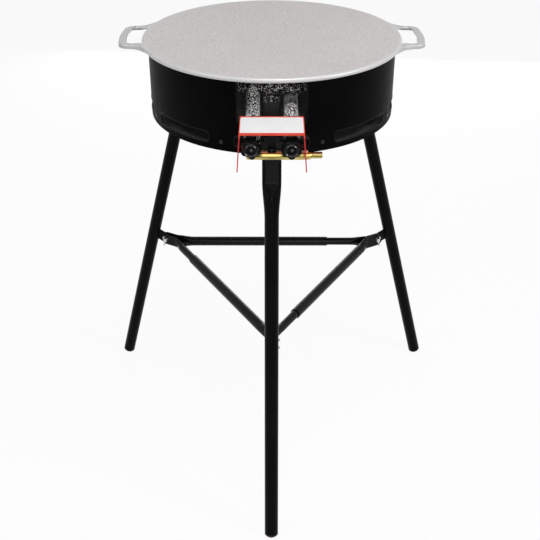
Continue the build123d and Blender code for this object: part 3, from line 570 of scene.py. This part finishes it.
# Knobs, spindles and their screws.
# Moulded thermoset grips with five broad lobes and a polished groove round the front, black, on turned and
# plated steel spindles. A small blackened screw in the middle holds each grip.
knob_lobes, knob_mean_radius, knob_lobe_height = 5, 0.0158, 0.0018
knob_front_round, knob_back_round, knob_back_inset = 0.0028, 0.001, 0.006
groove_radius, groove_half, groove_depth = 0.0102, 0.0017, 0.0015
well_radius, well_depth, well_chamfer, well_floor = 0.0048, 0.0015, 0.0004, 0.002
lobe_angle = {"left": math.radians(278), "right": math.radians(271)}


def knob_grip(middle, back, front, first_lobe, around=120):
    """A lobed grip: outline radius = mean + height times the cosine of five turns. Rows run from the back's
    middle over the rounded back edge, the side and the rounded front edge, across a land where the share of
    the lobes in the radius fades to nothing, down and up the two straight flanks of the groove and into the
    screw's well."""
    turn = np.linspace(0.0, 2 * math.pi, around, endpoint=False)
    outline = knob_mean_radius + knob_lobe_height * np.cos(knob_lobes * (turn - first_lobe))
    quarter = np.linspace(0.0, math.pi / 2, 9)
    deep = front - back
    land = np.linspace(0.0, 1.0, 5)[1:]
    back_inset = knob_back_round * (1 - np.sin(quarter))
    back_rise = knob_back_round * (1 - np.cos(quarter))
    front_inset = knob_front_round * (1 - np.cos(quarter))
    front_rise = deep - knob_front_round * (1 - np.sin(quarter))
    inset = np.concatenate([[knob_back_inset], back_inset, front_inset, knob_front_round + 0 * land])
    rise = np.concatenate([[0.0], back_rise, front_rise, deep + 0 * land])
    lobed = np.concatenate([np.ones(1 + 2 * len(quarter)), 1 - land])[:, None]
    body_rows = lobed * (outline - inset[:, None]) + (1 - lobed) * (groove_radius + groove_half)
    across_groove = np.linspace(1.0, -1.0, 9)[1:]
    groove_rows = groove_radius + groove_half * across_groove
    groove_rise = deep - groove_depth * (1 - np.abs(across_groove))
    well_rows = [groove_radius - 1.1 * groove_half, well_radius + well_chamfer, well_radius, well_floor]
    well_rise = deep - well_depth * np.array([0.0, 0.0, 1.0, 1.0])
    radius = np.concatenate([body_rows, np.concatenate([groove_rows, well_rows])[:, None] + 0 * turn])
    out = np.concatenate([rise, groove_rise, well_rise])[:, None] + 0 * turn
    across = middle.x + radius * np.cos(turn)
    up = middle.z + radius * np.sin(turn)
    return np.stack([across, -(back + out), up], -1)


def moulded_gloss(hand, middle):
    """Black moulding with a faint flow mottle, polished in the groove, which is found by its distance from
    the knob's axis."""
    constants = {"Specular_IOR_Level": 0.05, "Coat_Roughness": 0.16, "Coat_IOR": 1.6}
    material, sockets, where = new_finish(f"{hand}_moulded_gloss", **constants)
    flow = where.noise(180.0, 3.0)
    from_knob_axis = where.moved(-middle.x, 0.0, -middle.z).stretched(1.0, 0.0, 1.0).length()
    off_groove = (from_knob_axis - groove_radius).size()
    in_groove = 1 - off_groove.step(0.9 * groove_half, 1.1 * groove_half)
    where.feed(sockets["Base Color"], flow.between(grey(0.002), grey(0.005)))
    where.feed(sockets["Roughness"], flow * 0.06 + 0.14)
    where.feed(sockets["Coat Weight"], in_groove * 0.8)
    where.feed(sockets["Normal"], where.noise(420.0, 1.0).bump(0.00003))
    return material


zinc_light, zinc_dark = (0.74, 0.75, 0.77, 1), (0.56, 0.57, 0.60, 1)


def bright_zinc():
    """Zinc plating: pale blue-grey metal with a fine crystalline mottle."""
    material, sockets, where = new_finish("bright_zinc", Metallic=1.0)
    spangle = where.cells(900.0)
    where.feed(sockets["Base Color"], spangle.between(zinc_light, zinc_dark))
    where.feed(sockets["Roughness"], spangle * 0.15 + 0.22)
    return material


zinc = bright_zinc()
for hand in hands:
    low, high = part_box(f"knob_{hand}")
    middle = (low + high) / 2
    grip = knob_grip(middle, -high.y, -low.y, lobe_angle[hand])
    gloss = moulded_gloss(hand, middle)
    skin(f"{hand}_grip", [grip], f"{hand}_knob", gloss, [f"knob_{hand}"])
    coat(blackened, f"knob_screw_{hand}")
    coat(zinc, f"valve_spindle_{hand}")


# Legs.
# Round steel tube with the top pressed flat, so that it pushes on to a tongue, cut level under the drum and
# powder-coated satin black.
leg_splay = math.radians(16.1)
leg_top_radius = 0.2114
leg_radius, leg_wall = 0.01345, 0.0015
leg_flat_half, leg_wide_half = 0.00575, 0.01785
leg_flat_length, leg_flare, leg_shoulder = 0.060, 0.072, 0.034
leg_length, foot_reveal, leg_inner_depth = 0.7869, 0.008, 0.010
leg_flat_steps = [0.0, 0.020, 0.045]
leg_black, leg_dusty = grey(0.0018), grey(0.0030)


def smooth(value):
    """Rise from 0 to 1 with level ends: three squares less two cubes."""
    held = np.clip(value, 0.0, 1.0)
    return held * held * (3 - 2 * held)


def pressed_tube(radius, flat_half, wide_half, deep_share, wide_share, around=96):
    """Sections of a tube that is pressed flat at one end: thickness and width at each turn. Round, they are
    the cosine and sine of the turn. Flat, they are two half circles drawn apart, which take a quarter of the
    turn each, joined by straight lines. The shares say, row by row, how far each direction is back to
    round."""
    turn = np.linspace(0.0, 360.0, around, endpoint=False)
    marks = [0, 45, 135, 225, 315, 360]
    half_circle = np.radians(np.interp(turn, marks, [0, 0, 180, 180, 360, 360]))
    end = np.interp(turn, marks, [0, 1, 1, -1, -1, 0])
    flat_deep = flat_half[:, None] * np.cos(half_circle)
    flat_wide = flat_half[:, None] * np.sin(half_circle) + (wide_half - flat_half)[:, None] * end
    deep_share, wide_share = deep_share[:, None], wide_share[:, None]
    deep = (1 - deep_share) * flat_deep + deep_share * radius * np.cos(np.radians(turn))
    wide = (1 - wide_share) * flat_wide + wide_share * radius * np.sin(np.radians(turn))
    return deep, wide


def leg_skin(azimuth):
    """A leg from the foot up the outside to its level top, and down the inside to the end of the flat. The
    points of a row lie at one distance along the leg's slanting axis, but those of the top rows lie on the
    level cut."""
    flare_end = leg_flat_length + leg_flare
    flare_steps = leg_flat_length + np.linspace(0.0, leg_flare, 40)
    tube_steps = np.linspace(flare_end, leg_length - foot_reveal, 8)[1:]
    down = np.concatenate([leg_flat_steps, flare_steps, tube_steps])
    inner_down = np.array([*leg_flat_steps, leg_flat_length + leg_inner_depth])
    walk = np.concatenate([down[::-1], inner_down])
    inset = np.concatenate([0 * down, leg_wall + 0 * inner_down])
    past_flat = walk - leg_flat_length
    deep_share = np.where(inset > 0, 0.0, smooth(past_flat / leg_shoulder))
    wide_share = np.where(inset > 0, 0.0, smooth(past_flat / leg_flare))
    flat_half, wide_half = leg_flat_half - inset, leg_wide_half - inset
    deep, wide = pressed_tube(leg_radius, flat_half, wide_half, deep_share, wide_share)
    height = np.where(walk[:, None] > 0, -walk[:, None], -deep * math.tan(leg_splay))
    outward = leg_top_radius + deep * math.cos(leg_splay) - height * math.sin(leg_splay)
    up = drum_low.z + deep * math.sin(leg_splay) + height * math.cos(leg_splay)
    return turned(np.stack([outward, wide, up], -1), azimuth)


leg_paint = satin_paint(
    "leg_powder_coat", leg_black, leg_dusty, roughness=0.24, grain=800.0, gloss=0.045, peel=0.000012)
for leg, azimuth in legs.items():
    skin(f"{leg}_leg_tube", [leg_skin(azimuth)], f"{leg}_leg", leg_paint, [f"leg_tube_{leg}"])


# Tabs on the legs, with their welds, and the end plugs in the feet.
# Each tab is a steel plate welded square to the inner side of its leg by two rippled beads and painted with
# it. The plugs are moulded black plastic.
tab_half, tab_height = 0.002, 0.025
weld_radius, weld_ripple, weld_pitch = 0.0021, 0.0003, 0.0026
weld_inset, weld_tip = 0.001, 0.01


def tab_weld(low, high, side, azimuth, count=90, around=16):
    """A weld bead up the corner between tab and leg: a line along the leg, whose radius swells with each
    ripple and dies away at both ends."""
    height = np.linspace(low, high, count)
    inner = -math.sqrt(leg_radius**2 - tab_half**2)
    along = (height - drum_low.z - inner * math.sin(leg_splay)) / math.cos(leg_splay)
    outward = leg_top_radius + inner * math.cos(leg_splay) - along * math.sin(leg_splay)
    path = np.stack([outward, side * tab_half + 0 * height, height], 1)
    ripple = weld_radius + weld_ripple * np.cos(2 * math.pi * (height - low) / weld_pitch)
    ends = np.sqrt(np.clip(np.minimum(height - low, high - height) / weld_radius, weld_tip, 1.0))
    facing = np.broadcast_to([0.0, side, 0.0], path.shape)
    return bead(turned(path, azimuth), turned(facing, azimuth), ripple * ends, around)


plug_plastic = satin_paint("plug_plastic", grey(0.004), grey(0.007), roughness=0.45, grain=400.0, gloss=0.2)
for leg, azimuth in legs.items():
    coat(leg_paint, f"brace_tab_{leg}")
    coat(plug_plastic, f"foot_plug_{leg}")
    tab_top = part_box(f"brace_tab_{leg}")[1].z
    weld_foot, weld_head = tab_top - tab_height * math.cos(leg_splay) + weld_inset, tab_top - weld_inset
    welds = [tab_weld(weld_foot, weld_head, side, azimuth) for side in (-1, 1)]
    skin(f"{leg}_tab_welds", welds, f"{leg}_leg", leg_paint, crease=80.0)


# Braces between the legs.
# Each is a wide steel tube on one leg with a slim tube from the next leg sliding in it. Their ends are
# pressed to straps, bent towards each other and rounded about the bolt. Their black coat is glossier than
# the legs'.
bolt_low, bolt_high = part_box("brace_bolt_front")
bolt_out, bolt_up = -(bolt_low.y + bolt_high.y) / 2, (bolt_low.z + bolt_high.z) / 2
brace_lap, brace_offset = 0.028, 0.0035
brace_turn, bend_length = math.radians(30), 0.010
strap_half, brace_wall, brace_flare = 0.0015, 0.0015, 0.036
wide_radius, wide_strap, slim_radius, slim_strap = 0.01065, 0.01585, 0.00865, 0.01275
slim_showing, slim_engaged = 0.090, 0.150
mouth_step, inner_stop, tip_angle = 0.020, 0.010, 0.08
bend_out = bolt_out - brace_lap + brace_offset / math.tan(brace_turn)
brace_span = 2 * (bend_out * math.cos(brace_turn) - brace_offset / math.sin(brace_turn))
wide_length, slim_length = brace_span - slim_showing, slim_showing + slim_engaged
braces = {
    "wide": (wide_radius, wide_strap, wide_length, -1),
    "slim": (slim_radius, slim_strap, slim_length, 1),
}


def brace_skin(radius, wide_half, length, side, azimuth):
    """A brace from its rounded strap end, round the bend, through the flare and along the tube, then back
    inside. The path's heading swings from inward by the brace's angle over the bend, and its place is the
    running sum of the steps along that heading. The strap's half width near its end is that of a circle
    about the bolt."""
    to_bend = brace_lap + wide_half
    end_steps = wide_half * (1 - np.cos(np.linspace(tip_angle, math.pi / 2, 14)))
    bend_steps = np.linspace(to_bend - bend_length, to_bend + bend_length, 13)
    flare_steps = to_bend + np.linspace(bend_length, brace_flare, 18)[1:]
    tube_steps = to_bend + np.linspace(brace_flare, length, 12)[1:]
    walk = np.concatenate([end_steps, bend_steps, flare_steps, tube_steps])
    heading = math.pi - side * brace_turn * np.clip((walk - to_bend) / bend_length + 0.5, 0.0, 1.0)
    middle_heading = (heading[1:] + heading[:-1]) / 2
    steps = np.diff(walk)[:, None] * np.stack([np.cos(middle_heading), np.sin(middle_heading)], 1)
    start = [bolt_out + wide_half - walk[0], side * brace_offset]
    place = np.concatenate([[start], start + np.cumsum(steps, 0)])
    rounded = np.sqrt(np.clip(wide_half**2 - (wide_half - np.minimum(walk, wide_half)) ** 2, 0.0, None))
    inner_walk = to_bend + np.array([length, length - mouth_step, brace_flare + inner_stop])
    ahead = [math.cos(heading[-1]), math.sin(heading[-1])]
    inner_place = place[-1] - (to_bend + length - inner_walk)[:, None] * ahead
    inset = np.concatenate([0 * walk, brace_wall + 0 * inner_walk])
    walk = np.concatenate([walk, inner_walk])
    heading = np.concatenate([heading, heading[-1] + 0 * inner_walk])
    place = np.concatenate([place, inner_place])
    share = smooth((walk - to_bend) / brace_flare)
    half = np.concatenate([np.minimum(rounded, wide_half), wide_half + 0 * inner_walk])
    thin = np.minimum(strap_half + 0 * walk, half)
    deep, wide = pressed_tube(radius, thin, half, share, share)
    shrink = 1 - (inset / radius)[:, None]
    deep, wide = deep * shrink, wide * shrink
    outward = place[:, :1] - deep * np.sin(heading)[:, None]
    across = place[:, 1:] + deep * np.cos(heading)[:, None]
    return turned(np.stack([outward, across, bolt_up + wide], -1), azimuth)


brace_gloss = satin_paint(
    "brace_gloss_coat", leg_black, leg_dusty, roughness=0.20, grain=800.0, gloss=0.13, peel=0.000004)
for leg, azimuth in legs.items():
    for kind, (radius, wide_half, length, side) in braces.items():
        tube = brace_skin(radius, wide_half, length, side, azimuth)
        name, node = f"{leg}_{kind}_brace", f"brace_{kind}_{leg}"
        skin(name, [tube], f"{leg}_leg", brace_gloss, [node])


# Bolts and wing nuts through the tabs.
# Zinc-plated steel bolts go through each tab and the two straps beside it. Cast wing nuts hold them, so that
# the braces come off by hand.
for leg in legs:
    coat(zinc, f"brace_bolt_{leg}", f"wing_nut_{leg}")


# Griddle pan.
# One aluminium casting: a shallow dish with a rolled rim, a spigot below that sits inside the drum, and two
# loop handles with a turned-down border. It is blasted to an even light grey grain, and its rim is dressed
# smooth and bright.
pan_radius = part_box("griddle_pan")[1].y
pan_hollow, pan_thickness, rim_height, rim_round = 0.014, 0.007, 0.009, 0.0038
spigot_out, spigot_in, spigot_draft, spigot_depth = 0.235, 0.218, 0.002, 0.004
dish_start = 0.004
pan_seat = drum_high.z
pan_sphere = (pan_radius**2 + pan_hollow**2) / (2 * pan_hollow)
sphere_up = pan_seat + rim_height - pan_hollow + pan_sphere


def dish_up(radius, below=0.0):
    """Height of the cooking face, which is part of a large sphere, or of a face that far below it."""
    return sphere_up - np.sqrt((pan_sphere + below) ** 2 - radius**2)


rim_middle = pan_radius - rim_round
rim_slope = math.asin(rim_middle / pan_sphere)
roll_start = rim_middle - rim_round * math.sin(rim_slope)
rim_crest = dish_up(roll_start) + rim_round * (1 - math.cos(rim_slope))


def pan_body(around=288):
    """The pan's profile turned about its axis: out along the dish, over the rim in two arcs, along the seat,
    down and up the spigot, and back along the underside."""
    dish = np.linspace(dish_start, roll_start, 24)
    over = np.linspace(math.pi / 2 + rim_slope, 0.0, 14)[1:]
    under = np.linspace(0.0, -math.pi / 2, 10)
    beneath = np.linspace(spigot_in, dish_start, 12)
    rolls = rim_middle + rim_round * np.cos(np.concatenate([over, under]))
    spigot = [spigot_out, spigot_out - spigot_draft, spigot_in]
    radius = np.concatenate([dish, rolls, spigot, beneath])[:, None]
    over_up = rim_crest + rim_round * (np.sin(over) - 1)
    under_up = pan_seat + rim_round * (np.sin(under) + 1)
    spigot_up = [pan_seat, pan_seat - spigot_depth, pan_seat - spigot_depth]
    beneath_up = dish_up(beneath, pan_thickness)
    up = np.concatenate([dish_up(dish), over_up, under_up, spigot_up, beneath_up])[:, None]
    turn = np.linspace(0.0, 2 * math.pi, around, endpoint=False)
    return np.stack([radius * np.cos(turn), radius * np.sin(turn), up + 0 * turn], -1)


handle_half = np.array([[0.224, 0.102], [0.254, 0.061], [0.289, 0.061], [0.2945, 0.0]])
handle_corners = np.concatenate([handle_half, handle_half[-2::-1] * [1, -1]])
handle_radii = [0.036, 0.020, 0.200, 0.020, 0.036]
arm_width, bar_width, heel_width = 0.0105, 0.0160, 0.0185
bar_from, bar_swell, heel_from, heel_swell = 0.272, 0.018, 0.266, 0.012
border_depth, border_wall, web_thickness = 0.0085, 0.0032, 0.0034
outer_round, inner_round, small_round = 0.0030, 0.0014, 0.0008
root_depth, root_run, below_crest = 0.002, 0.004, 0.0001


def rounded_path(corners, radii):
    """Straight runs with each corner as an arc, tangent to both runs: from the arc's start, the sine of the
    swing ahead and one less its cosine to the side."""
    points = [corners[:1]]
    for before, corner, after, radius in zip(corners, corners[1:], corners[2:], radii):
        ahead = (corner - before) / np.linalg.norm(corner - before)
        side = np.array([-ahead[1], ahead[0]])
        turn = math.atan2(side @ (after - corner), ahead @ (after - corner))
        start = corner - ahead * radius * math.tan(abs(turn) / 2)
        swing = np.linspace(0.0, abs(turn), 16)[:, None]
        points.append(start + radius * (np.sin(swing) * ahead + np.sign(turn) * (1 - np.cos(swing)) * side))
    return np.concatenate([*points, corners[-1:]])


def pan_handle(azimuth, count=150):
    """A loop handle: a section carried along the outer edge. The section runs over the rounded outer edge,
    across the top, round the inner edge, back under the web and down and up the border. Points that reach
    over the dish are held just under its surface, so that the root melts into the rim."""
    path = even_steps(rounded_path(handle_corners, handle_radii), count)
    along = np.gradient(path, axis=0)
    along /= np.linalg.norm(along, axis=1, keepdims=True)
    inward = np.stack([along[:, 1], -along[:, 0]], 1)
    out = path[:, :1]
    width = arm_width + (bar_width - arm_width) * smooth((out - bar_from) / bar_swell)
    width = width + (heel_width - arm_width) * smooth((heel_from - out) / heel_swell)
    quarter = np.linspace(0.0, math.pi / 2, 7)
    outer_reach = outer_round * (1 - np.cos(quarter))
    inner_reach = inner_round * (np.sin(quarter) - 1)
    web_reach = [0.0, -small_round, border_wall + 2 * small_round, border_wall]
    border_reach = [border_wall, border_wall - small_round, small_round, 0.0]
    fixed = np.concatenate([outer_reach, inner_reach, web_reach, border_reach])
    share = np.concatenate([0 * quarter, 1 + 0 * quarter, [1, 1, 0, 0], np.zeros(4)])
    outer_drop = outer_round * (1 - np.sin(quarter))
    inner_drop = inner_round * (1 - np.cos(quarter))
    web_drop = [web_thickness - small_round, web_thickness, web_thickness, web_thickness + 2 * small_round]
    border_drop = [border_depth - small_round, border_depth, border_depth, border_depth - small_round]
    drop = np.concatenate([outer_drop, inner_drop, web_drop, border_drop])
    plan = path[:, None] + (fixed + share * width)[..., None] * inward[:, None]
    from_axis = np.minimum(np.linalg.norm(plan, axis=-1), rim_middle)
    sunk = root_depth * smooth((rim_middle - from_axis) / root_run)
    held = np.where(from_axis < roll_start, dish_up(from_axis), rim_crest) - sunk
    up = np.minimum(rim_crest - below_crest - drop, held)
    return turned(np.concatenate([plan, up[..., None]], -1), azimuth)


dressed_from, dressed_full, handle_fade = 0.240, 0.249, 0.004
grain_high, grain_high_warm = (0.628, 0.610, 0.606, 1), (0.604, 0.577, 0.570, 1)
grain_low, grain_low_warm = (0.491, 0.477, 0.473, 1), (0.471, 0.450, 0.443, 1)
handle_low, handle_high, rim_bright = (0.45, 0.44, 0.44, 1), (0.51, 0.50, 0.50, 1), (0.57, 0.565, 0.565, 1)


def blasted_casting():
    """Light grey metal with a coarse and a fine grain, warmer in clouds. By distance from the axis the rim
    is smoother and brighter, and the handles are a little darker."""
    material, sockets, where = new_finish("blasted_casting", Specular_IOR_Level=0.25)
    grain = where.noise(260.0, 2.0, 0.6) * 0.6 + where.noise(700.0, 2.0, 0.7) * 0.4
    warm = where.noise(4.0, 3.0).step(0.35, 0.65)
    high = warm.between(grain_high, grain_high_warm)
    low = warm.between(grain_low, grain_low_warm)
    blasted = grain.step(0.40, 0.60).between(low, high)
    from_axis = where.from_axis()
    dressed = from_axis.step(dressed_from, dressed_full)
    on_handle = from_axis.step(pan_radius, pan_radius + handle_fade)
    handled = grain.step(0.35, 0.65).between(handle_low, handle_high)
    where.feed(sockets["Base Color"], dressed.between(blasted, on_handle.between(rim_bright, handled)))
    where.feed(sockets["Metallic"], dressed * 0.25 + 0.06)
    where.feed(sockets["Roughness"], grain * 0.2 + 0.46 - dressed * 0.16)
    where.feed(sockets["Normal"], grain.bump(0.00015))
    return material


pan_grids = [pan_body(), pan_handle(0.0), pan_handle(math.pi)]
skin("pan_casting", pan_grids, "pan", blasted_casting(), ["griddle_pan"], crease=40.0)


# Studio: a pale floor, a white surround and soft lamps.
# The camera stands where the photograph was taken from, and looks down on the pan. The floor and the
# surround are white to the camera and in mirrored rays, and light the object only a little.
def shown_white(tree, share):
    """A factor that is the given share for rays from the camera and for mirrored or passed rays, and nothing
    for the rest."""
    ray = Tone(tree)
    kinds = ("Camera", "Glossy", "Transmission")
    seen = [ray.node("ShaderNodeLightPath", {}, {}, f"Is {kind} Ray") for kind in kinds]
    return seen[0].most(seen[1]).most(seen[2]) * share


floor_half, floor_drop = 12.0, 0.0005
floor_grey, floor_white = grey(0.92), 0.92
floor_corners = np.array([[-1, -1, 0], [1, -1, 0], [1, 1, 0], [-1, 1, 0]]) * floor_half - [0, 0, floor_drop]
floor_mesh = bpy.data.meshes.new("studio_floor")
floor_mesh.from_pydata(floor_corners.tolist(), [], [(0, 1, 2, 3)])
floor = bpy.data.objects.new("studio_floor", floor_mesh)
bpy.context.scene.collection.objects.link(floor)
floor_paint, _, _ = new_finish("studio_floor", Base_Color=floor_grey, Roughness=0.9)
floor_mesh.materials.append(floor_paint)
floor_tree = floor_paint.node_tree
lit = Tone(floor_tree, floor_tree.nodes["Principled BSDF"].outputs[0])
white = lit.node("ShaderNodeEmission", {}, {"Color": grey(1.0), "Strength": 1.0})
shown = lit.node("ShaderNodeMixShader", {}, {0: shown_white(floor_tree, floor_white), 1: lit, 2: white})
shown.feed(floor_tree.nodes["Material Output"].inputs["Surface"], shown)

world = bpy.data.worlds.new("surround")
world.use_nodes = True
bpy.context.scene.world = world
ambient_level, backdrop_level = 0.28, 0.98
sky_tree = world.node_tree
ambient = Tone(sky_tree).node("ShaderNodeBackground", {}, {"Color": grey(1.0), "Strength": ambient_level})
backdrop = ambient.node("ShaderNodeBackground", {}, {"Color": grey(1.0), "Strength": backdrop_level})
sky = ambient.node("ShaderNodeMixShader", {}, {0: shown_white(sky_tree, 1.0), 1: ambient, 2: backdrop})
sky.feed(sky_tree.nodes["World Output"].inputs["Surface"], sky)


def soft_lamp(name, place, target, width, height, watts):
    """A rectangular area lamp that faces a point."""
    lamp = bpy.data.lights.new(name, "AREA")
    lamp.shape = "RECTANGLE"
    lamp.size = width
    lamp.size_y = height
    lamp.energy = watts
    holder = bpy.data.objects.new(name, lamp)
    bpy.context.scene.collection.objects.link(holder)
    forward = np.subtract(target, place)
    yaw = math.atan2(forward[0], -forward[1])
    pitch = math.atan2(math.hypot(forward[0], forward[1]), -forward[2])
    holder.location = place
    holder.rotation_euler = (pitch, 0, yaw + math.pi)
    holder.visible_camera = False


burner_middle, braces_middle = (0, 0, 0.75), (0, 0, 0.45)
soft_lamp("overhead_softbox", (0.2, -0.6, 2.5), burner_middle, 0.8, 0.8, 14)
soft_lamp("left_softbox", (-2.4, -1.6, 2.0), burner_middle, 1.6, 1.6, 18)
soft_lamp("right_softbox", (2.4, -1.4, 2.0), burner_middle, 0.9, 0.9, 34)
soft_lamp("front_fill", (0.3, -2.4, 2.3), burner_middle, 1.4, 0.9, 6)
soft_lamp("low_front_fill", (0.1, -3.5, 1.5), burner_middle, 0.6, 0.6, 11)
soft_lamp("low_back_softbox", (0.2, 2.6, 0.45), braces_middle, 2.4, 0.8, 22)

bpy.context.scene.view_settings.view_transform = "Standard"
look_down, look_left = 0.5417, 0.00204
camera = bpy.data.cameras.new("photo_view")
camera.sensor_width = 36.0
camera.lens = 63.13
photo_view = bpy.data.objects.new("photo_view", camera)
bpy.context.scene.collection.objects.link(photo_view)
photo_view.location = (0.0, -1.79916, 1.45385)
photo_view.rotation_euler = (math.pi / 2 - look_down, 0, look_left)
bpy.context.scene.camera = photo_view
